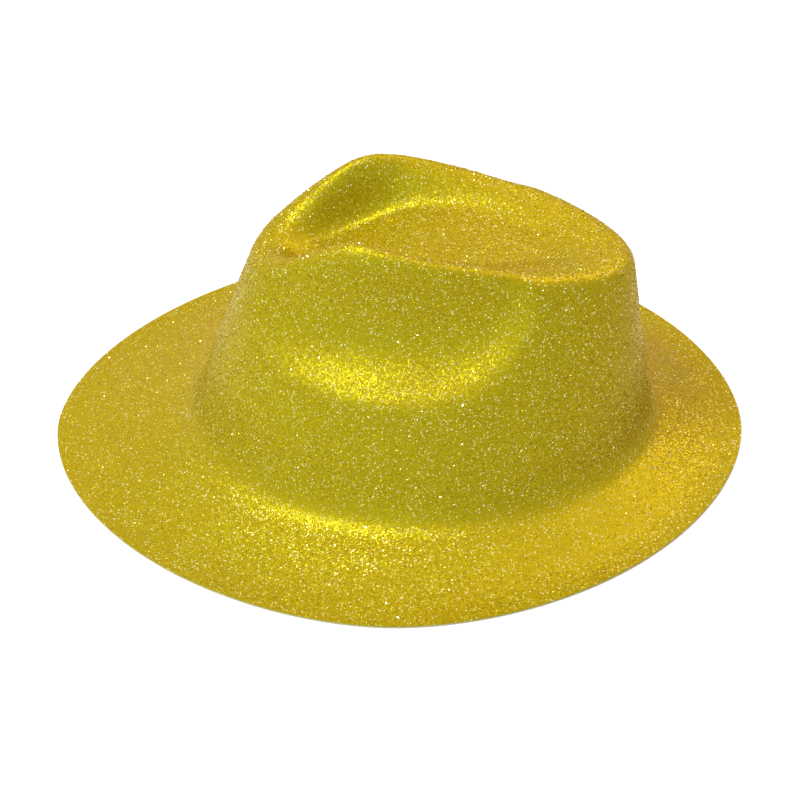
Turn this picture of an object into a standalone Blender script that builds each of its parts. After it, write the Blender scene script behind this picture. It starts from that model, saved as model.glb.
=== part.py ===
"""A glittered fedora: a thin vacuum-formed plastic shell, crown and brim in one sheet.

Units are metres, +Z is up and the front of the hat is towards -Y. The brim rests on z = 0 and the
origin is the middle of the brim there. Every piece is a layer of one moulded surface, so each is
that surface, or a strip of it, moved along its normals and given a thickness.
"""
import math

import bmesh
import bpy
from mathutils import Vector

# Brim, as it is die-cut from the sheet
BRIM_LENGTH = 0.3150
BRIM_WIDTH = 0.2795
BRIM_ROUNDNESS = 1.84
BRIM_NARROWING = 0.0092
LIP_WIDTH = 0.0090
BRIM_RISE = 0.0085
SPREAD_SHARE = 0.50
SPREAD_RISE = 0.0028

# Crown where it meets the brim
CROWN_LENGTH = 0.2005
CROWN_WIDTH = 0.1640
CROWN_SETBACK = 0.0128
FILLET_FRONT = 0.0210
FILLET_BACK = 0.0130

# How the crown draws in as it climbs: 1 is a straight slope, and more keeps the wall upright for longer
DRAW_IN_ENDS = 1.05
DRAW_IN_SIDES = 1.10

# Crest, the rounded ridge at the top of the crown
CREST_LENGTH = 0.1690
CREST_WIDTH = 0.0910
CREST_NARROWING = -0.0080
CREST_SETBACK = 0.0221
CREST_PEAK = 0.1257
CREST_FRONT = 0.1010
CREST_BACK = 0.1000
CREST_ROUNDING = 0.0060
PEAK_SETBACK = -0.0065
PEAK_ROUNDING = 0.0150

# Dish pressed into the top of the crown: a teardrop, the fall of its wall, and the heights of its floor
DISH_WIDTH = 0.0680
DISH_SETBACK = 0.0017
DISH_FRONT = 0.0520
DISH_BACK = 0.0793
DISH_ROUNDNESS_FRONT = 1.75
DISH_ROUNDNESS_BACK = 2.05
DISH_WALL_FRONT = 0.0085
DISH_WALL_BACK = 0.0100
FLOOR_PEAK = 0.1060
FLOOR_SETBACK = 0.0175
FLOOR_FRONT = 0.0950
FLOOR_FRONT_REACH = 0.0480
FLOOR_BACK = 0.0940
FLOOR_BACK_REACH = 0.1010

# Hollow pressed into each side: where it lies round the crown, how far it narrows the crest, its drop from
# there, the draft of its upright face, and the shares of its reach and drop that the face takes
HOLLOW_MIDDLE = math.radians(80)
HOLLOW_FRONT_REACH = math.radians(55)
HOLLOW_BACK_REACH = math.radians(39)
HOLLOW_ROUNDNESS = 2.5
HOLLOW_PINCH = 0.0040
HOLLOW_DROP = 0.0545
HOLLOW_DRAFT = 0.0040
FACE_REACH_SHARE = 0.82
FACE_DROP_SHARE = 0.47

# Layers, from the outside to the head
COAT = 0.0004
SHEET = 0.0008
TAPE = 0.0005
BAND = 0.0018
TAB = 0.0004
BOND_GAP = 0.0003

# Sweatband, its tape and the tab over its joint
BAND_CLEARANCE = 0.0020
BAND_HEIGHT = 0.0280
TAPE_MARGIN = 0.0080
JOINT_GAP = 0.0006
TAB_WIDTH = 0.0180
TAB_MARGIN = 0.0030

# Finishes: colour, roughness and metallic value
FINISHES = {
    "ivory_plastic": ((0.78, 0.68, 0.36), 0.42, 0.0),
    "gold_glitter": ((0.60, 0.43, 0.030), 0.38, 0.75),
    "band_fabric": ((0.030, 0.028, 0.026), 0.90, 0.0),
    "adhesive_tape": ((0.80, 0.78, 0.70), 0.55, 0.0),
    "ribbon_tape": ((0.045, 0.042, 0.040), 0.75, 0.0),
}

# Rows of the moulded surface: fillet angles, climbs up the wall, and shares of the top
SEGMENTS = 72
FILLET_ANGLES = (0, 32, 62)
WALL_CLIMBS = (0.12, 0.25, 0.36, 0.40, 0.45, 0.52, 0.60, 0.71, 0.84, 0.94, 1.0)
CREST_ANGLES = (30, 60, 90)
DISH_SHARES = (0.5, 1.0)
FLOOR_SHARES = (0.75, 0.45, 0.18)


def clear_scene():
    for thing in list(bpy.data.objects):
        bpy.data.objects.remove(thing, do_unlink=True)


def new_collection(name):
    collection = bpy.data.collections.new(name)
    bpy.context.scene.collection.children.link(collection)
    return collection


def finish(name):
    colour, roughness, metallic = FINISHES[name]
    material = bpy.data.materials.new(name)
    material.use_nodes = True
    shader = material.node_tree.nodes["Principled BSDF"]
    shader.inputs["Base Color"].default_value = (*colour, 1.0)
    shader.inputs["Roughness"].default_value = roughness
    shader.inputs["Metallic"].default_value = metallic
    return material


def between(low, high, share):
    return low + (high - low) * share


def eased(share):
    share = min(max(share, 0.0), 1.0)
    return share * share * (3.0 - 2.0 * share)


def rounded(value, roundness):
    return math.copysign(abs(value) ** (2.0 / roundness), value)


def oval(length, width, setback, angle, roundness=2.0, narrowing=0.0):
    """Plan point of an oval, narrower in its front half and wider behind. Angle 0 is the front."""
    x = 0.5 * (width - narrowing * math.cos(angle)) * rounded(math.sin(angle), roundness)
    y = setback - 0.5 * length * rounded(math.cos(angle), roundness)
    return x, y


def crest_height(angle):
    """Height of the ridge, which falls from its peak to the front and to the back."""
    y = oval(CREST_LENGTH, CREST_WIDTH, CREST_SETBACK, angle)[1]
    height = CREST_FRONT if y < PEAK_SETBACK else CREST_BACK
    end = CREST_SETBACK + math.copysign(0.5 * CREST_LENGTH, y - PEAK_SETBACK)
    fall = math.hypot(y - PEAK_SETBACK, PEAK_ROUNDING) - PEAK_ROUNDING
    whole_fall = math.hypot(end - PEAK_SETBACK, PEAK_ROUNDING) - PEAK_ROUNDING
    return between(CREST_PEAK, height, fall / whole_fall)


def floor_height(y):
    """Height of the dish's floor along the crown."""
    if y < FLOOR_SETBACK:
        return between(FLOOR_PEAK, FLOOR_FRONT, eased((FLOOR_SETBACK - y) / FLOOR_FRONT_REACH))
    return between(FLOOR_PEAK, FLOOR_BACK, eased((y - FLOOR_SETBACK) / FLOOR_BACK_REACH))


def fillet_radius(angle):
    """Radius of the curve between brim and crown, which is softer in front."""
    return between(FILLET_FRONT, FILLET_BACK, 0.5 - 0.5 * math.cos(angle))


def spread(across, depth):
    """Distance from the hollow's middle, where 1 is a rounded U that hangs from the crest."""
    return (abs(across) ** HOLLOW_ROUNDNESS + abs(depth) ** HOLLOW_ROUNDNESS) ** (1.0 / HOLLOW_ROUNDNESS)


def hollow_depth(angle, climb):
    """How deep a climb lies in the hollow: 0 at the crest and 1 at the hollow's lowest point."""
    return (1.0 - climb) * (CREST_PEAK - CREST_ROUNDING - BRIM_RISE - fillet_radius(angle)) / HOLLOW_DROP


def hollow_share(angle, climb):
    """How far the wall is pressed in, 0 to 1: an upright face under the crest and a shelf below it."""
    across = math.acos(math.cos(angle)) - HOLLOW_MIDDLE
    across /= HOLLOW_FRONT_REACH if across < 0.0 else HOLLOW_BACK_REACH
    depth = hollow_depth(angle, climb)
    rim = spread(across, depth)
    face = spread(across / FACE_REACH_SHARE, depth / FACE_DROP_SHARE)
    if face <= 1.0 or rim >= 1.0:
        return 1.0 if face <= 1.0 else 0.0
    share = (1.0 - rim) / (1.0 - rim / face)
    return share * (2.0 - share)


def brim_point(angle, inset):
    """A point on the level lip of the brim, which is a little narrower in front."""
    length, width = BRIM_LENGTH - 2.0 * inset, BRIM_WIDTH - 2.0 * inset
    return Vector((*oval(length, width, 0.0, angle, BRIM_ROUNDNESS, BRIM_NARROWING), SHEET))


def spread_point(angle):
    """A point between the lip and the crown, on the shallow curve that lifts the brim."""
    plan = brim_point(angle, LIP_WIDTH).lerp(fillet_point(angle, 0.0), SPREAD_SHARE)
    return Vector((plan.x, plan.y, SHEET + SPREAD_RISE))


def fillet_point(angle, turn):
    """A point on the curve from brim to crown, where turn 0 is level and a quarter turn upright."""
    radius = fillet_radius(angle)
    reach = 2.0 * radius * (1.0 - math.sin(turn))
    x, y = oval(CROWN_LENGTH + reach, CROWN_WIDTH + reach, CROWN_SETBACK, angle)
    return Vector((x, y, BRIM_RISE + radius * (1.0 - math.cos(turn))))


def wall_point(angle, climb):
    """A point on the crown's wall: climb 0 is its foot and 1 where the crest begins to round over."""
    length = between(CROWN_LENGTH, CREST_LENGTH, climb ** DRAW_IN_ENDS)
    width = between(CROWN_WIDTH, CREST_WIDTH, climb ** DRAW_IN_SIDES)
    pressed_width = CREST_WIDTH - 2.0 * HOLLOW_PINCH + 2.0 * HOLLOW_DRAFT * hollow_depth(angle, climb)
    width = between(width, min(width, pressed_width), hollow_share(angle, climb))
    setback = between(CROWN_SETBACK, CREST_SETBACK, climb)
    x, y = oval(length, width, setback, angle, narrowing=CREST_NARROWING * climb)
    top = crest_height(angle) - CREST_ROUNDING
    return Vector((x, y, between(BRIM_RISE + fillet_radius(angle), top, climb)))


def crest_point(angle, turn):
    """A point on the rounded crest, from the top of the wall to the edge of the dish a quarter turn on."""
    outside, edge = wall_point(angle, 1.0), Vector((*dish_plan(angle, 0.0), crest_height(angle)))
    plan = outside.lerp(edge, 1.0 - math.cos(turn))
    return Vector((plan.x, plan.y, between(outside.z, edge.z, math.sin(turn))))


def dish_plan(angle, inset):
    """Plan point of the dish, a teardrop with its point in front. The inset is from its upper edge."""
    ahead = math.cos(angle) > 0.0
    length = DISH_FRONT if ahead else DISH_BACK
    roundness = DISH_ROUNDNESS_FRONT if ahead else DISH_ROUNDNESS_BACK
    return oval(2.0 * (length - inset), DISH_WIDTH - 2.0 * inset, DISH_SETBACK, angle, roundness)


def deck_rows(angle):
    """The top at one angle: the rounded crest, the dish's wall and its floor."""
    height = crest_height(angle)
    rows = [crest_point(angle, math.radians(turn)) for turn in CREST_ANGLES]
    fall = between(DISH_WALL_FRONT, DISH_WALL_BACK, 0.5 - 0.5 * math.cos(angle))
    for share in DISH_SHARES:
        x, y = dish_plan(angle, fall * share)
        rows.append(Vector((x, y, between(height, floor_height(y), share))))
    floor_edge = Vector(dish_plan(angle, fall))
    for share in FLOOR_SHARES:
        x, y = Vector((0.0, DISH_SETBACK)).lerp(floor_edge, share)
        rows.append(Vector((x, y, floor_height(y))))
    return rows


def mould_section(angle):
    """The moulded surface at one angle, from the brim's edge to the dish."""
    rows = [brim_point(angle, 0.0), brim_point(angle, LIP_WIDTH), spread_point(angle)]
    rows += [fillet_point(angle, math.radians(turn)) for turn in FILLET_ANGLES]
    rows += [wall_point(angle, climb) for climb in WALL_CLIMBS]
    return rows + deck_rows(angle)


def mould_surface():
    """The loft through the sections, closed in the middle of the dish, facing out of the hat."""
    shape = bmesh.new()
    columns = []
    for step in range(SEGMENTS):
        section = mould_section(2.0 * math.pi * step / SEGMENTS)
        columns.append([shape.verts.new(point) for point in section])
    middle = shape.verts.new((0.0, DISH_SETBACK, floor_height(DISH_SETBACK)))
    for step, here in enumerate(columns):
        ahead = columns[(step + 1) % SEGMENTS]
        for row in range(len(here) - 1):
            shape.faces.new((here[row], ahead[row], ahead[row + 1], here[row + 1]))
        shape.faces.new((here[-1], ahead[-1], middle))
    mesh = bpy.data.meshes.new("mould_surface")
    shape.to_mesh(mesh)
    shape.free()
    return mesh


def wall_strip(surface, low, high, half_width=None):
    """The part of the surface between two heights, all round or only across the back."""
    cuts = [((0.0, 0.0, low), (0.0, 0.0, -1.0)), ((0.0, 0.0, high), (0.0, 0.0, 1.0))]
    if half_width:
        cuts.append(((0.0, CROWN_SETBACK, 0.0), (0.0, -1.0, 0.0)))
        cuts.append(((half_width, 0.0, 0.0), (1.0, 0.0, 0.0)))
        cuts.append(((-half_width, 0.0, 0.0), (-1.0, 0.0, 0.0)))
    shape = bmesh.new()
    shape.from_mesh(surface)
    for point, normal in cuts:
        everything = shape.verts[:] + shape.edges[:] + shape.faces[:]
        bmesh.ops.bisect_plane(shape, geom=everything, plane_co=point, plane_no=normal, clear_outer=True)
    strip = bpy.data.meshes.new("wall_strip")
    shape.to_mesh(strip)
    shape.free()
    return strip


def add_layer(name, surface, start, thickness, finish_name, collection, parent):
    """A piece that starts at a distance from the moulded surface; both are negative inwards."""
    mesh = surface.copy()
    mesh.name = name
    mesh.materials.append(finish(finish_name))
    mesh.shade_smooth()
    piece = bpy.data.objects.new(name, mesh)
    collection.objects.link(piece)
    piece.parent = parent
    seat = piece.modifiers.new("seat", "DISPLACE")
    seat.mid_level = 0.0
    seat.strength = start
    wall = piece.modifiers.new("wall", "SOLIDIFY")
    wall.thickness = abs(thickness)
    wall.offset = math.copysign(1.0, thickness)
    wall.use_even_offset = True
    return piece


def cut_joint(band, low, collection):
    """Part the sweatband at the back, where the ends of its strip meet."""
    back = CROWN_SETBACK + 0.5 * CROWN_LENGTH
    bpy.ops.mesh.primitive_cube_add(size=1.0, location=(0.0, back, low + 0.5 * BAND_HEIGHT))
    cutter = bpy.context.object
    cutter.name = "band_joint_cutter"
    cutter.scale = (JOINT_GAP, 0.5 * CROWN_LENGTH, 2.0 * BAND_HEIGHT)
    cutter.hide_render = True
    cutter.display_type = "WIRE"
    for home in list(cutter.users_collection):
        home.objects.unlink(cutter)
    collection.objects.link(cutter)
    joint = band.modifiers.new("butt_joint", "BOOLEAN")
    joint.operation = "DIFFERENCE"
    joint.object = cutter


def main():
    clear_scene()
    parts = new_collection("glitter_party_hat")
    cutters = new_collection("glitter_party_hat_cutters")
    hat = bpy.data.objects.new("hat", None)
    parts.objects.link(hat)

    surface = mould_surface()
    add_layer("glitter_coat", surface, BOND_GAP, COAT, "gold_glitter", parts, hat)
    add_layer("hat_shell", surface, 0.0, -SHEET, "ivory_plastic", parts, hat)

    band_low = BRIM_RISE + max(FILLET_FRONT, FILLET_BACK) + BAND_CLEARANCE
    band_high = band_low + BAND_HEIGHT
    start = SHEET + BOND_GAP
    strip = wall_strip(surface, band_low + TAPE_MARGIN, band_high - TAPE_MARGIN)
    add_layer("sweatband_tape", strip, -start, -TAPE, "adhesive_tape", parts, hat)

    start += TAPE + BOND_GAP
    strip = wall_strip(surface, band_low, band_high)
    band = add_layer("sweatband", strip, -start, -BAND, "band_fabric", parts, hat)
    cut_joint(band, band_low, cutters)

    start += BAND + BOND_GAP
    strip = wall_strip(surface, band_low + TAB_MARGIN, band_high - TAB_MARGIN, 0.5 * TAB_WIDTH)
    add_layer("sweatband_tab", strip, -start, -TAB, "ribbon_tape", parts, hat)


main()
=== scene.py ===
import math
from collections import Counter

import bpy
import numpy as np
from mathutils import Matrix, Vector


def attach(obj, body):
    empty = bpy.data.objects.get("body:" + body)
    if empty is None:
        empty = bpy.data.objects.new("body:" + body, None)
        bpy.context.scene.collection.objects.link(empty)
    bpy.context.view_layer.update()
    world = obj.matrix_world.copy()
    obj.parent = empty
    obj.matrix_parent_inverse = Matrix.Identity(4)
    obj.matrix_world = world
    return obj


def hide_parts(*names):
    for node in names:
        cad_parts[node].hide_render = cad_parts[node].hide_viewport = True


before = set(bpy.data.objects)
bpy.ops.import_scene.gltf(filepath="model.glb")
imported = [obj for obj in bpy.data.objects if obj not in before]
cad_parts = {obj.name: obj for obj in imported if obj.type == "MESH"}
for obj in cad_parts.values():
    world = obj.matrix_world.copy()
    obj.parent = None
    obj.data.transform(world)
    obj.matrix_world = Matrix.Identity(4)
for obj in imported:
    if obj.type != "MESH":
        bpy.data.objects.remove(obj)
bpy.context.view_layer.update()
print("frame loaded:", sorted(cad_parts))


# everyday helpers

mending = {"merge": 0.00002, "flatness": math.radians(80), "squareness": math.radians(120)}


def only(piece):
    bpy.ops.object.select_all(action="DESELECT")
    piece.select_set(True)
    bpy.context.view_layer.objects.active = piece


def applied(piece, kind, **values):
    only(piece)
    modifier = piece.modifiers.new(kind.lower(), kind)
    for key, value in values.items():
        setattr(modifier, key, value)
    bpy.ops.object.modifier_apply(modifier=modifier.name)


def smoothed(piece, levels):
    applied(piece, "SUBSURF", levels=levels, render_levels=levels)


def softShaded(piece, degrees):
    only(piece)
    bpy.ops.object.shade_smooth_by_angle(angle=math.radians(degrees))


def linked(name, mesh):
    piece = bpy.data.objects.new(name, mesh)
    piece.data.name = name
    bpy.context.scene.collection.objects.link(piece)
    return piece


def dressed(piece, material, node):
    # the piece rides on the hat, wears one material and stands for a node of the frame
    piece.data.materials.clear()
    piece.data.materials.append(material)
    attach(piece, "root")
    if node:
        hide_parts(node)


def copiedNode(node, name):
    # a node's triangles, merged and turned back into quads
    piece = linked(name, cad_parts[node].data.copy())
    only(piece)
    bpy.ops.object.mode_set(mode="EDIT")
    bpy.ops.mesh.select_all(action="SELECT")
    bpy.ops.mesh.remove_doubles(threshold=mending["merge"])
    bpy.ops.mesh.tris_convert_to_quads(
        face_threshold=mending["flatness"], shape_threshold=mending["squareness"],
    )
    bpy.ops.object.mode_set(mode="OBJECT")
    return piece


def picked(piece, kind, wanted):
    # leaves edit mode open with only the wanted faces, edges or vertices selected
    only(piece)
    bpy.ops.object.mode_set(mode="EDIT")
    bpy.ops.mesh.select_mode(type=kind)
    bpy.ops.mesh.select_all(action="DESELECT")
    bpy.ops.object.mode_set(mode="OBJECT")
    mesh = piece.data
    for item in {"FACE": mesh.polygons, "EDGE": mesh.edges, "VERT": mesh.vertices}[kind]:
        item.select = wanted(item)
    bpy.ops.object.mode_set(mode="EDIT")


def keptFaces(piece, wanted):
    picked(piece, "FACE", lambda face: not wanted(face))
    bpy.ops.mesh.delete(type="FACE")
    bpy.ops.object.mode_set(mode="OBJECT")


# shader helpers

def newMaterial(name):
    material = bpy.data.materials.new(name)
    material.use_nodes = True
    return material, material.node_tree, material.node_tree.nodes["Principled BSDF"]


def addNode(tree, kind, place, **inputs):
    node = tree.nodes.new("ShaderNode" + kind)
    node.location = place
    for key, value in inputs.items():
        node.inputs[key].default_value = value
    return node


def addMath(tree, operation, place, first, second):
    node = addNode(tree, "Math", place)
    node.operation = operation
    for socket, value in zip(node.inputs, (first, second)):
        if isinstance(value, (int, float)):
            socket.default_value = value
        else:
            tree.links.new(value, socket)
    return node.outputs[0]


def addRamp(tree, place, value, stops):
    node = addNode(tree, "ValToRGB", place)
    tones = node.color_ramp.elements
    while len(tones) < len(stops):
        tones.new(stops[-1][0])
    for tone, (position, colour) in zip(tones, stops):
        tone.position = position
        tone.color = (*colour, 1.0)
    tree.links.new(value, node.inputs[0])
    return node.outputs["Color"]


def addRange(tree, place, value, low, high):
    node = addNode(tree, "MapRange", place)
    node.inputs["To Min"].default_value = low
    node.inputs["To Max"].default_value = high
    tree.links.new(value, node.inputs["Value"])
    return node.outputs["Result"]


# gold glitter: fine flakes in a clear binder, each tilted its own way

glitterLook = {
    "flakeSize": 0.00056,
    "tilt": 0.34,
    "tones": (
        (0.00, (0.455, 0.336, 0.008)),
        (0.45, (0.545, 0.404, 0.010)),
        (0.94, (0.615, 0.461, 0.014)),
        # painted glints: the palest cells are cream, so they shine like glints under any light
        (0.97, (0.860, 0.740, 0.220)),
        (1.00, (0.980, 0.900, 0.480)),
    ),
    "metal": 0.36,
    "shineTint": (0.80, 0.64, 0.24),
    "roughness": (0.30, 0.42),
    "binder": 0.12,
    # painted light: the coat turns a greener hue on steep walls than on flat faces, in place of the cooler
    # light that falls on them
    "paintedWallTint": (0.92, 1.0, 1.0),
    "paintedWallRange": (0.40, 0.80),
    "patchScale": 38.0,
    "patchDetail": 3.0,
    "patchShade": (0.95, 1.05),
}


def goldGlitter(look):
    material, tree, shader = newMaterial("gold_glitter_coat")
    place = addNode(tree, "TexCoord", (-1400, 0))
    cells = addNode(tree, "TexVoronoi", (-1200, 100), Scale=1.0 / look["flakeSize"])
    tree.links.new(place.outputs["Object"], cells.inputs["Vector"])
    parts = addNode(tree, "SeparateColor", (-1000, 100))
    tree.links.new(cells.outputs["Color"], parts.inputs["Color"])
    # the tilt of each flake, from its cell's colour, which runs from 0 to 1
    lean = addNode(tree, "VectorMath", (-1000, -200))
    lean.operation = "SUBTRACT"
    lean.inputs[1].default_value = (0.5, 0.5, 0.5)
    tree.links.new(cells.outputs["Color"], lean.inputs[0])
    scaled = addNode(tree, "VectorMath", (-820, -200))
    scaled.operation = "SCALE"
    scaled.inputs["Scale"].default_value = look["tilt"]
    tree.links.new(lean.outputs[0], scaled.inputs[0])
    facing = addNode(tree, "NewGeometry", (-820, -400))
    summed = addNode(tree, "VectorMath", (-640, -250))
    summed.operation = "ADD"
    tree.links.new(scaled.outputs[0], summed.inputs[0])
    tree.links.new(facing.outputs["Normal"], summed.inputs[1])
    facet = addNode(tree, "VectorMath", (-460, -250))
    facet.operation = "NORMALIZE"
    tree.links.new(summed.outputs[0], facet.inputs[0])
    tree.links.new(facet.outputs[0], shader.inputs["Normal"])
    # its tone, the palest cells painted cream as glints, with soft patches where the glue took more or
    # less
    tone = addRamp(tree, (-760, 200), parts.outputs["Red"], look["tones"])
    patch = addNode(tree, "TexNoise", (-1000, 420), Scale=look["patchScale"], Detail=look["patchDetail"])
    tree.links.new(place.outputs["Object"], patch.inputs["Vector"])
    shade = addRange(tree, (-760, 420), patch.outputs[0], *look["patchShade"])
    # painted light: steep faces get a greener hue, standing in for the cooler light on the walls
    upright = addNode(tree, "SeparateXYZ", (-640, 600))
    tree.links.new(facing.outputs["Normal"], upright.inputs[0])
    paintedShare = addRange(tree, (-460, 600), upright.outputs["Z"], 0.0, 1.0)
    for end, height in zip(("From Min", "From Max"), look["paintedWallRange"]):
        paintedShare.node.inputs[end].default_value = height
    paintedTint = addRamp(tree, (-280, 600), paintedShare, ((0.0, look["paintedWallTint"]), (1.0, (1.0, 1.0, 1.0))))
    paintedTone = addNode(tree, "VectorMath", (-40, 500))
    paintedTone.operation = "MULTIPLY"
    tree.links.new(tone, paintedTone.inputs[0])
    tree.links.new(paintedTint, paintedTone.inputs[1])
    mixed = addNode(tree, "VectorMath", (-460, 250))
    mixed.operation = "SCALE"
    tree.links.new(paintedTone.outputs[0], mixed.inputs[0])
    tree.links.new(shade, mixed.inputs["Scale"])
    tree.links.new(mixed.outputs[0], shader.inputs["Base Color"])
    rough = addRange(tree, (-460, 40), parts.outputs["Green"], *look["roughness"])
    tree.links.new(rough, shader.inputs["Roughness"])
    shader.inputs["Metallic"].default_value = look["metal"]
    shader.inputs["Specular Tint"].default_value = (*look["shineTint"], 1.0)
    shader.inputs["Specular IOR Level"].default_value = look["binder"]
    return material


flakeLook = {
    "tones": (
        (0.00, (0.50, 0.375, 0.002)),
        (0.76, (0.60, 0.455, 0.006)),
        # partly painted glints: the palest flakes are cream, so they shine under any light; their real
        # shine comes from the metal and the low roughness below
        (0.84, (0.90, 0.790, 0.300)),
        (1.00, (0.98, 0.930, 0.600)),
    ),
    "metal": 0.70,
    "shineTint": (0.92, 0.80, 0.46),
    # dull flakes are scuffed, the pale ones painted as glints are clean and smooth
    "roughness": ((0.00, (0.46,) * 3), (0.76, (0.40,) * 3), (0.84, (0.17,) * 3)),
}


def looseFlake(look):
    material, tree, shader = newMaterial("gold_flake")
    tone = addNode(tree, "Attribute", (-700, 100))
    tone.attribute_name = "flakeTone"
    colour = addRamp(tree, (-460, 200), tone.outputs["Fac"], look["tones"])
    tree.links.new(colour, shader.inputs["Base Color"])
    rough = addRamp(tree, (-460, -60), tone.outputs["Fac"], look["roughness"])
    tree.links.new(rough, shader.inputs["Roughness"])
    shader.inputs["Metallic"].default_value = look["metal"]
    shader.inputs["Specular Tint"].default_value = (*look["shineTint"], 1.0)
    return material


# ivory plastic: the formed sheet, satin inside, pale where it was cut

plasticLook = {
    "tones": ((0.0, (0.82, 0.71, 0.36)), (0.5, (0.87, 0.77, 0.42)), (1.0, (0.91, 0.82, 0.48))),
    "cloudScale": 26.0,
    "cloudDetail": 4.0,
    "roughness": (0.30, 0.42),
    "peelScale": 900.0,
    "peelDetail": 2.0,
    "peelStrength": 0.35,
    "peelHeight": 0.00006,
}


def ivoryPlastic(look):
    material, tree, shader = newMaterial("ivory_plastic_sheet")
    place = addNode(tree, "TexCoord", (-1100, 0))
    cloud = addNode(tree, "TexNoise", (-900, 150), Scale=look["cloudScale"], Detail=look["cloudDetail"])
    tree.links.new(place.outputs["Object"], cloud.inputs["Vector"])
    colour = addRamp(tree, (-650, 200), cloud.outputs[0], look["tones"])
    tree.links.new(colour, shader.inputs["Base Color"])
    rough = addRange(tree, (-400, 20), cloud.outputs[0], *look["roughness"])
    tree.links.new(rough, shader.inputs["Roughness"])
    peel = addNode(tree, "TexNoise", (-900, -200), Scale=look["peelScale"], Detail=look["peelDetail"])
    tree.links.new(place.outputs["Object"], peel.inputs["Vector"])
    bump = addNode(tree, "Bump", (-400, -200), Strength=look["peelStrength"], Distance=look["peelHeight"])
    tree.links.new(peel.outputs[0], bump.inputs["Height"])
    tree.links.new(bump.outputs[0], shader.inputs["Normal"])
    return material


# brushed knit, ribbon and tape

knitLook = {
    "loopSize": 0.0009,
    "tones": ((0.0, (0.012, 0.011, 0.010)), (1.0, (0.052, 0.048, 0.045))),
    "fuzzScale": 2600.0,
    "fuzzDetail": 3.0,
    "bumpStrength": 0.6,
    "bumpHeight": 0.0004,
    "roughness": 0.92,
    "sheen": 0.35,
    "sheenRoughness": 0.5,
}


def bandKnit(look):
    material, tree, shader = newMaterial("brushed_knit")
    place = addNode(tree, "TexCoord", (-1100, 0))
    loops = addNode(tree, "TexVoronoi", (-900, 0), Scale=1.0 / look["loopSize"])
    tree.links.new(place.outputs["Object"], loops.inputs["Vector"])
    fuzz = addNode(tree, "TexNoise", (-900, -300), Scale=look["fuzzScale"], Detail=look["fuzzDetail"])
    tree.links.new(place.outputs["Object"], fuzz.inputs["Vector"])
    # painted shade: the colour is darker where the knit is low, between its loops, with random fuzz
    # besides
    height = addMath(tree, "SUBTRACT", (-650, -150), fuzz.outputs[0], loops.outputs["Distance"])
    tree.links.new(addRamp(tree, (-420, 150), height, look["tones"]), shader.inputs["Base Color"])
    bump = addNode(tree, "Bump", (-420, -200), Strength=look["bumpStrength"], Distance=look["bumpHeight"])
    tree.links.new(height, bump.inputs["Height"])
    tree.links.new(bump.outputs[0], shader.inputs["Normal"])
    shader.inputs["Roughness"].default_value = look["roughness"]
    shader.inputs["Sheen Weight"].default_value = look["sheen"]
    shader.inputs["Sheen Roughness"].default_value = look["sheenRoughness"]
    return material


ribbonLook = {
    "ribSize": 0.0012,
    "waveRate": 20.0,  # radians to a metre in a wave texture of scale 1
    "tones": ((0.0, (0.020, 0.019, 0.018)), (1.0, (0.075, 0.070, 0.066))),
    "bumpStrength": 0.7,
    "bumpHeight": 0.0003,
    "roughness": 0.7,
}


def wovenRibbon(look):
    material, tree, shader = newMaterial("woven_ribbon")
    place = addNode(tree, "TexCoord", (-1100, 0))
    ribs = addNode(tree, "TexWave", (-900, 0), Scale=math.tau / look["waveRate"] / look["ribSize"])
    ribs.bands_direction = "Z"
    tree.links.new(place.outputs["Object"], ribs.inputs["Vector"])
    # painted shade: the colour is darker in the troughs between the ribs
    colour = addRamp(tree, (-420, 150), ribs.outputs["Fac"], look["tones"])
    tree.links.new(colour, shader.inputs["Base Color"])
    bump = addNode(tree, "Bump", (-420, -200), Strength=look["bumpStrength"], Distance=look["bumpHeight"])
    tree.links.new(ribs.outputs["Fac"], bump.inputs["Height"])
    tree.links.new(bump.outputs[0], shader.inputs["Normal"])
    shader.inputs["Roughness"].default_value = look["roughness"]
    return material


tapeLook = {
    "tones": ((0.3, (0.66, 0.64, 0.57)), (0.7, (0.76, 0.74, 0.68))),
    "fibreScale": 700.0,
    "fibreDetail": 4.0,
    "roughness": 0.55,
}


def paleTape(look):
    material, tree, shader = newMaterial("pale_tape")
    place = addNode(tree, "TexCoord", (-900, 0))
    fibre = addNode(tree, "TexNoise", (-700, 0), Scale=look["fibreScale"], Detail=look["fibreDetail"])
    tree.links.new(place.outputs["Object"], fibre.inputs["Vector"])
    colour = addRamp(tree, (-420, 100), fibre.outputs[0], look["tones"])
    tree.links.new(colour, shader.inputs["Base Color"])
    shader.inputs["Roughness"].default_value = look["roughness"]
    return material


glitterMaterial = goldGlitter(glitterLook)
flakeMaterial = looseFlake(flakeLook)
plasticMaterial = ivoryPlastic(plasticLook)
print("finishes made")


# the formed sheet: its outer face, smoothed, carries every layer

formed = {"levels": 2, "rimHeight": 0.0020, "deckLow": 0.090, "gridSpan": 18}


def formedFace():
    piece = copiedNode("hat_shell", "formed_face")
    keptFaces(piece, lambda face: face.center.z > formed["rimHeight"] or abs(face.normal.z) > 0.5)
    only(piece)
    bpy.ops.object.mode_set(mode="EDIT")
    bpy.ops.mesh.select_all(action="SELECT")
    bpy.ops.mesh.separate(type="LOOSE")
    bpy.ops.object.mode_set(mode="OBJECT")
    sides = sorted(bpy.context.selected_objects, key=lambda side: max(v.co.z for v in side.data.vertices))
    for side in sides[:-1]:
        bpy.data.objects.remove(side)
    return sides[-1]


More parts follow.
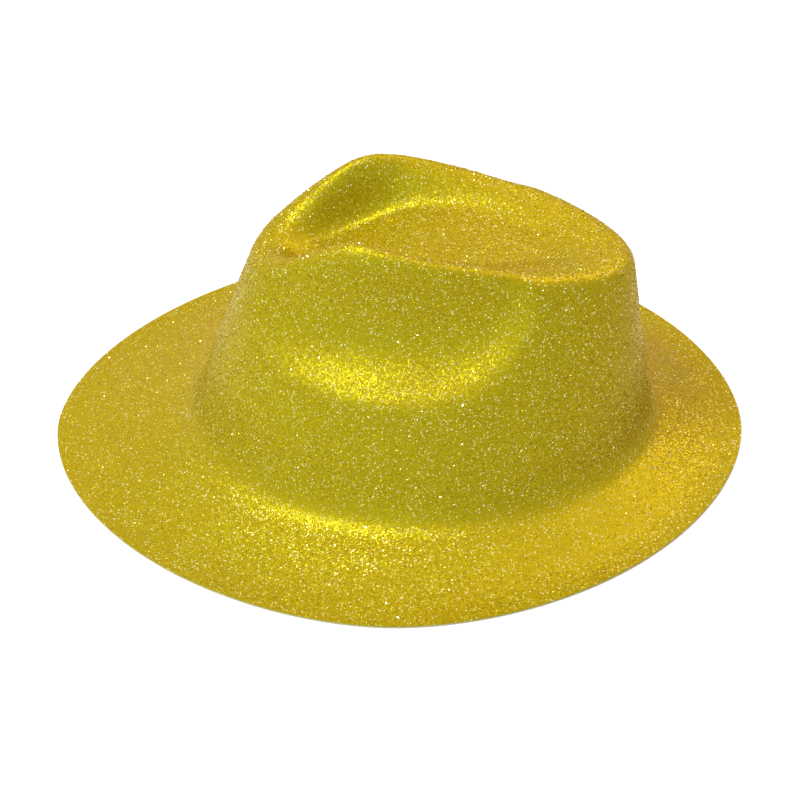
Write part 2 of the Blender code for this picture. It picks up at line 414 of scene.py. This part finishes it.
def closedPole(piece):
    # the fan in the middle of the dish becomes a grid of quads
    fan = [
        face for face in piece.data.polygons
        if len(face.vertices) == 3 and face.center.z > formed["deckLow"]
    ]
    spokes = [index for face in fan for index in face.vertices]
    hub = max(set(spokes), key=spokes.count)
    picked(piece, "VERT", lambda vertex: vertex.index == hub)
    bpy.ops.mesh.delete(type="VERT")
    bpy.ops.object.mode_set(mode="OBJECT")
    faceEdges = [key for face in piece.data.polygons for key in face.edge_keys]
    openKeys = {key for key, count in Counter(faceEdges).items() if count == 1}
    heights = [vertex.co.z for vertex in piece.data.vertices]
    picked(piece, "EDGE", lambda edge: edge.key in openKeys and heights[edge.key[0]] > formed["deckLow"])
    bpy.ops.mesh.fill_grid(span=formed["gridSpan"])
    bpy.ops.object.mode_set(mode="OBJECT")


# the front corner of the dish is drawn softly over its mould

softCorner = {
    "low": 0.088,
    "front": -0.036,
    "width": 0.036,
    "length": 0.074,
    "middle": 0.0221,
    "easing": 0.5,
    "times": 2,
}


def inSoftCorner(vertex):
    x, y, z = vertex.co
    across, along = x / softCorner["width"], (y - softCorner["middle"]) / softCorner["length"]
    return z > softCorner["low"] and y < softCorner["front"] and math.hypot(across, along) < 1.0


def easedCorner(piece):
    picked(piece, "VERT", inSoftCorner)
    bpy.ops.mesh.vertices_smooth(factor=softCorner["easing"], repeat=softCorner["times"])
    bpy.ops.object.mode_set(mode="OBJECT")


surface = formedFace()
closedPole(surface)
easedCorner(surface)
smoothed(surface, formed["levels"])
only(surface)
bpy.ops.object.shade_smooth()
print("formed face:", len(surface.data.polygons), "faces")


shellSizes = {"sheet": 0.0008, "crease": 40.0}


def makeShell():
    piece = linked("formed_shell", surface.data.copy())
    applied(piece, "SOLIDIFY", thickness=shellSizes["sheet"], offset=-1.0, use_even_offset=True)
    softShaded(piece, shellSizes["crease"])
    dressed(piece, plasticMaterial, "hat_shell")


coatSizes = {"start": 0.00006, "thickness": 0.00060, "crease": 40.0}


def makeCoat():
    piece = linked("glitter_layer", surface.data.copy())
    applied(piece, "DISPLACE", strength=coatSizes["start"], mid_level=0.0)
    applied(piece, "SOLIDIFY", thickness=coatSizes["thickness"], offset=1.0, use_even_offset=True)
    softShaded(piece, coatSizes["crease"])
    dressed(piece, glitterMaterial, "glitter_coat")


makeShell()
makeCoat()
print("shell and coat made")


# loose flakes that stand proud of the coat

flakeSizes = {
    "sides": 6,
    "stretch": (1.12, 0.90, 1.0),
    "mapShare": 0.42,  # the flake's radius in its own square of the map
    "radius": 0.00036,
    "depth": 0.00030,
    "proud": 0.00012,
    "brimDensity": 150000.0,
    "wallDensity": 520000.0,
    "deckDensity": 260000.0,
    "tilt": 0.75,
    "scale": (0.55, 1.10),
}


def makeFlake():
    # a flat plate whose root is sunk in the binder
    bpy.ops.object.select_all(action="DESELECT")
    bpy.ops.mesh.primitive_cone_add(
        vertices=flakeSizes["sides"], radius1=0.0, radius2=flakeSizes["radius"], depth=flakeSizes["depth"],
        end_fill_type="NGON",
        location=(0.0, 0.0, flakeSizes["proud"] - 0.5 * flakeSizes["depth"]),
    )
    flake = bpy.context.object
    flake.name = "one_flake"
    bpy.ops.object.transform_apply(location=True, rotation=True, scale=True)
    bpy.ops.object.mode_set(mode="EDIT")
    bpy.ops.mesh.select_all(action="SELECT")
    bpy.ops.transform.resize(value=flakeSizes["stretch"])
    bpy.ops.object.mode_set(mode="OBJECT")
    return flake


def scatterGroup(flake, seed, density):
    group = bpy.data.node_groups.new("flake_scatter", "GeometryNodeTree")
    group.interface.new_socket("Geometry", in_out="INPUT", socket_type="NodeSocketGeometry")
    group.interface.new_socket("Geometry", in_out="OUTPUT", socket_type="NodeSocketGeometry")
    nodes, links = group.nodes, group.links
    start = nodes.new("NodeGroupInput")
    points = nodes.new("GeometryNodeDistributePointsOnFaces")
    points.inputs["Density"].default_value = density
    points.inputs["Seed"].default_value = seed
    links.new(start.outputs[0], points.inputs["Mesh"])
    lean = nodes.new("FunctionNodeRandomValue")
    lean.data_type = "FLOAT_VECTOR"
    tilt = flakeSizes["tilt"]
    lean.inputs["Min"].default_value = (-tilt, -tilt, -math.pi)
    lean.inputs["Max"].default_value = (tilt, tilt, math.pi)
    lean.inputs["Seed"].default_value = seed + 1
    turn = nodes.new("FunctionNodeEulerToRotation")
    links.new(lean.outputs["Value"], turn.inputs[0])
    rotate = nodes.new("FunctionNodeRotateRotation")
    rotate.rotation_space = "LOCAL"
    links.new(points.outputs["Rotation"], rotate.inputs["Rotation"])
    links.new(turn.outputs[0], rotate.inputs["Rotate By"])
    size = nodes.new("FunctionNodeRandomValue")
    size.inputs[2].default_value, size.inputs[3].default_value = flakeSizes["scale"]
    size.inputs["Seed"].default_value = seed + 2
    shape = nodes.new("GeometryNodeObjectInfo")
    shape.inputs["Object"].default_value = flake
    place = nodes.new("GeometryNodeInstanceOnPoints")
    links.new(points.outputs["Points"], place.inputs["Points"])
    links.new(shape.outputs["Geometry"], place.inputs["Instance"])
    links.new(rotate.outputs[0], place.inputs["Rotation"])
    links.new(size.outputs[1], place.inputs["Scale"])
    tone = nodes.new("FunctionNodeRandomValue")
    tone.inputs["Seed"].default_value = seed + 3
    store = nodes.new("GeometryNodeStoreNamedAttribute")
    store.data_type = "FLOAT"
    store.domain = "INSTANCE"
    store.inputs["Name"].default_value = "flakeTone"
    links.new(place.outputs[0], store.inputs["Geometry"])
    links.new(tone.outputs[1], store.inputs["Value"])
    whole = nodes.new("GeometryNodeRealizeInstances")
    links.new(store.outputs[0], whole.inputs[0])
    finish = nodes.new("NodeGroupOutput")
    links.new(whole.outputs[0], finish.inputs[0])
    return group


def mapFlakes(piece, faces):
    # each flake has a square of its own on the map, so its one tone survives a bake
    total = len(piece.data.polygons) // faces
    side = math.ceil(math.sqrt(total))
    layer = piece.data.uv_layers.new(name="OFBake")
    starts = np.empty(len(piece.data.polygons), np.int32)
    counts = np.empty(len(piece.data.polygons), np.int32)
    piece.data.polygons.foreach_get("loop_start", starts)
    piece.data.polygons.foreach_get("loop_total", counts)
    face = np.repeat(np.arange(len(starts)), counts)
    corner = np.arange(len(face)) - np.repeat(starts, counts)
    angle = math.tau * corner / counts[face]
    flake = face // faces
    u = (flake % side + 0.5 + flakeSizes["mapShare"] * np.cos(angle)) / side
    v = (flake // side + 0.5 + flakeSizes["mapShare"] * np.sin(angle)) / side
    layer.data.foreach_set("uv", np.stack([u, v], 1).astype(np.float32).ravel())


def makeFlakes(name, flake, seed, density, wanted):
    piece = linked(name, surface.data.copy())
    applied(piece, "DISPLACE", strength=coatSizes["start"] + coatSizes["thickness"], mid_level=0.0)
    keptFaces(piece, wanted)
    applied(piece, "NODES", node_group=scatterGroup(flake, seed, density))
    for polygon in piece.data.polygons:
        polygon.use_smooth = False
    mapFlakes(piece, len(flake.data.polygons))
    dressed(piece, flakeMaterial, None)
    print(name, "has", len(piece.data.polygons) // len(flake.data.polygons), "flakes")


flakeParts = {
    "brimTop": 0.020,
    "deckLow": 0.094,
    "middle": 0.0125,
    "deckLength": 0.076,
    "deckWidth": 0.0335,
    "deckMiddle": 0.0221,
}


def onBrim(face):
    return face.center.z < flakeParts["brimTop"]


def onDeck(face):
    across = face.center.x / flakeParts["deckWidth"]
    along = (face.center.y - flakeParts["deckMiddle"]) / flakeParts["deckLength"]
    return face.center.z > flakeParts["deckLow"] and math.hypot(across, along) < 1.0


def onWall(face):
    return not onBrim(face) and not onDeck(face)


def inFront(face):
    return face.center.y < flakeParts["middle"]


flake = makeFlake()
brimCount, wallCount, deckCount = (flakeSizes[part + "Density"] for part in ("brim", "wall", "deck"))
makeFlakes("brim_front_flakes", flake, 11, brimCount, lambda face: onBrim(face) and inFront(face))
makeFlakes("brim_back_flakes", flake, 23, brimCount, lambda face: onBrim(face) and not inFront(face))
makeFlakes("wall_front_flakes", flake, 37, wallCount, lambda face: onWall(face) and inFront(face))
makeFlakes("wall_back_flakes", flake, 41, wallCount, lambda face: onWall(face) and not inFront(face))
makeFlakes("deck_flakes", flake, 53, deckCount, onDeck)
bpy.data.objects.remove(flake)


# the sweatband, its tape and its tab

bandSizes = {"levels": 2, "crease": 50.0, "tapeCrease": 40.0}


def makeBand():
    piece = copiedNode("sweatband", "sweatband_strip")
    smoothed(piece, bandSizes["levels"])
    softShaded(piece, bandSizes["crease"])
    dressed(piece, bandKnit(knitLook), "sweatband")


def makeTape():
    piece = copiedNode("sweatband_tape", "band_tape_strip")
    softShaded(piece, bandSizes["tapeCrease"])
    dressed(piece, paleTape(tapeLook), "sweatband_tape")


def makeTab():
    piece = copiedNode("sweatband_tab", "joint_ribbon")
    softShaded(piece, bandSizes["tapeCrease"])
    dressed(piece, wovenRibbon(ribbonLook), "sweatband_tab")


makeBand()
makeTape()
makeTab()
bpy.data.objects.remove(surface)
print("band, tape and tab made")


# floor, lamps and world

room = {
    "floorSize": 8.0,
    "floorDrop": 0.0003,
    "floorRoughness": 0.9,
    "floorShine": 0.1,
    "floorGrey": 0.80,
    "floorGlow": (0.70, 0.70, 0.90),
    # soft washes of the sky: where each comes from and its colour
    "washes": (
        ((-0.8, -0.6, 0.0), (0.58, 0.08, 0.02)),
        ((0.0, -1.0, 0.0), (0.02, 0.26, 0.06)),
        ((1.0, 0.0, 0.0), (0.09, 0.08, 0.04)),
    ),
}


def seenDirectly(tree, place):
    # 1 for rays from the camera and for mirrored or refracted views of the background, else 0
    path = addNode(tree, "LightPath", place)
    mirrored = addMath(tree, "MAXIMUM", (place[0] + 180, place[1]), path.outputs["Is Glossy Ray"],
                       path.outputs["Is Transmission Ray"])
    return addMath(tree, "MAXIMUM", (place[0] + 360, place[1]), path.outputs["Is Camera Ray"], mirrored)


def makeFloor():
    bpy.ops.object.select_all(action="DESELECT")
    bpy.ops.mesh.primitive_plane_add(size=room["floorSize"], location=(0.0, 0.0, -room["floorDrop"]))
    floor = bpy.context.object
    floor.name = "floor"
    material, tree, shader = newMaterial("white_floor")
    shader.inputs["Base Color"].default_value = (*[room["floorGrey"]] * 3, 1.0)
    shader.inputs["Roughness"].default_value = room["floorRoughness"]
    shader.inputs["Specular IOR Level"].default_value = room["floorShine"]
    shader.inputs["Emission Color"].default_value = (*room["floorGlow"], 1.0)
    tree.links.new(seenDirectly(tree, (-800, 300)), shader.inputs["Emission Strength"])
    floor.data.materials.append(material)


def makeWorld():
    # white where it is seen, and as a light the sum of the washes
    world = bpy.data.worlds.new("white_room")
    bpy.context.scene.world = world
    world.use_nodes = True
    tree = world.node_tree
    direction = addNode(tree, "TexCoord", (-1500, -200))
    light = None
    for row, (side, colour) in enumerate(room["washes"]):
        lean = addNode(tree, "VectorMath", (-1300, -250 * row))
        lean.operation = "DOT_PRODUCT"
        lean.inputs[1].default_value = side
        tree.links.new(direction.outputs["Generated"], lean.inputs[0])
        share = addRange(tree, (-1100, -250 * row), lean.outputs["Value"], 0.0, 1.0)
        share.node.inputs["From Min"].default_value = -1.0
        wash = addNode(tree, "VectorMath", (-900, -250 * row))
        wash.operation = "SCALE"
        wash.inputs[0].default_value = colour
        tree.links.new(share, wash.inputs["Scale"])
        if light:
            both = addNode(tree, "VectorMath", (-700, -250 * row))
            tree.links.new(light, both.inputs[0])
            tree.links.new(wash.outputs[0], both.inputs[1])
            light = both.outputs[0]
        else:
            light = wash.outputs[0]
    mixed = addNode(tree, "Mix", (-300, 100))
    mixed.data_type = "RGBA"
    tree.links.new(seenDirectly(tree, (-1100, 400)), mixed.inputs[0])
    tree.links.new(light, mixed.inputs[6])
    mixed.inputs[7].default_value = (1.0, 1.0, 1.0, 1.0)
    tree.links.new(mixed.outputs[2], tree.nodes["Background"].inputs["Color"])


lampAim = (0.0, 0.0, 0.05)
lamps = {
    "left_lamp": {"at": (0.35, -0.60, 1.40), "size": 0.50, "watts": 11.4, "colour": (0.80, 1.0, 0.95)},
    "right_lamp": {"at": (-0.70, 0.70, 1.10), "size": 0.50, "watts": 3.6, "colour": (1.0, 0.80, 0.36)},
    "top_lamp": {"at": (0.46, -0.05, 1.48), "size": 0.40, "watts": 1.4, "colour": (1.0, 0.85, 1.0)},
    "far_lamp": {"at": (-0.45, 0.0, 1.50), "size": 0.50, "watts": 1.0, "colour": (1.0, 0.79, 0.50)},
    "near_lamp": {"at": (1.20, -0.30, 0.70), "size": 0.50, "watts": 0.9, "colour": (0.50, 1.0, 0.70)},
}


def makeLamps():
    aim = Vector(lampAim)
    for name, lamp in lamps.items():
        light = bpy.data.lights.new(name, "AREA")
        light.shape = "DISK"
        light.size = lamp["size"]
        light.energy = lamp["watts"]
        light.color = lamp["colour"]
        holder = bpy.data.objects.new(name, light)
        bpy.context.scene.collection.objects.link(holder)
        holder.location = lamp["at"]
        holder.rotation_euler = (aim - holder.location).to_track_quat("-Z", "Y").to_euler()


view = {
    "elevation": 38.073,
    "turn": -4.3208,
    "roll": -2.2345,
    "distance": 1.4606,
    "pixelsPerMetre": 2172.3,
    "middle": (398.04, 425.78),
    "frame": 800.0,
    "sensor": 36.0,
}


def makeCamera():
    rise, turn, roll = (math.radians(view[key]) for key in ("elevation", "turn", "roll"))
    around = Matrix.Rotation(-turn, 3, "Z")
    right = around @ Vector((0.0, 1.0, 0.0))
    toward = around @ Vector((math.cos(rise), 0.0, math.sin(rise)))
    pose = Matrix((right, toward.cross(right), toward)).transposed() @ Matrix.Rotation(roll, 3, "Z")
    lens = bpy.data.cameras.new("photo_view")
    lens.sensor_width = view["sensor"]
    lens.lens = view["sensor"] * view["pixelsPerMetre"] * view["distance"] / view["frame"]
    lens.shift_x = 0.5 - view["middle"][0] / view["frame"]
    lens.shift_y = view["middle"][1] / view["frame"] - 0.5
    camera = bpy.data.objects.new("photo_view", lens)
    bpy.context.scene.collection.objects.link(camera)
    camera.matrix_world = Matrix.Translation(toward * view["distance"]) @ pose.to_4x4()
    bpy.context.scene.camera = camera


makeFloor()
makeWorld()
makeLamps()
makeCamera()
bpy.context.scene.view_settings.view_transform = "Standard"
print("floor, lamps and camera set")
